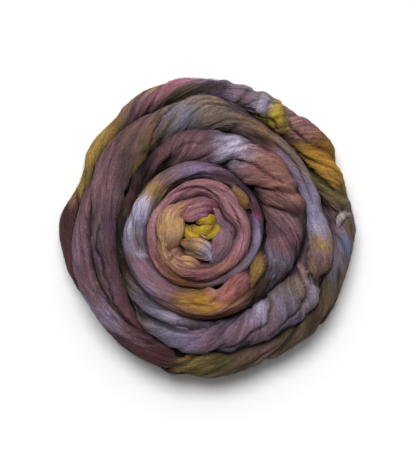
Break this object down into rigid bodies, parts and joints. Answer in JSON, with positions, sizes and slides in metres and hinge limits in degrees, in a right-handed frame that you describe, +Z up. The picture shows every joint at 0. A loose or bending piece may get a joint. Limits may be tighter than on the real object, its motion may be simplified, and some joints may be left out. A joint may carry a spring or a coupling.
{
  "type": "wool roving coil",
  "caption": "Low round coil of loosely twisted combed wool roving, wound outwards from its centre, hand-dyed in soft patches.",
  "frame": {"origin": "on the table under the middle of the coil, at the point that the strand is wound round", "axes": "+Z up, away from the table; the strand winds outwards counter-clockwise seen from above; its outer end lies towards -X and a little towards -Y"},
  "size_m": [0.2515, 0.2549, 0.0607],
  "materials": {
    "dyed_wool": "matt combed wool with a soft sheen along the fibres"
  },
  "bodies": {
    "root": {"roving_coil": "dyed_wool"}
  },
  "joints": []
}
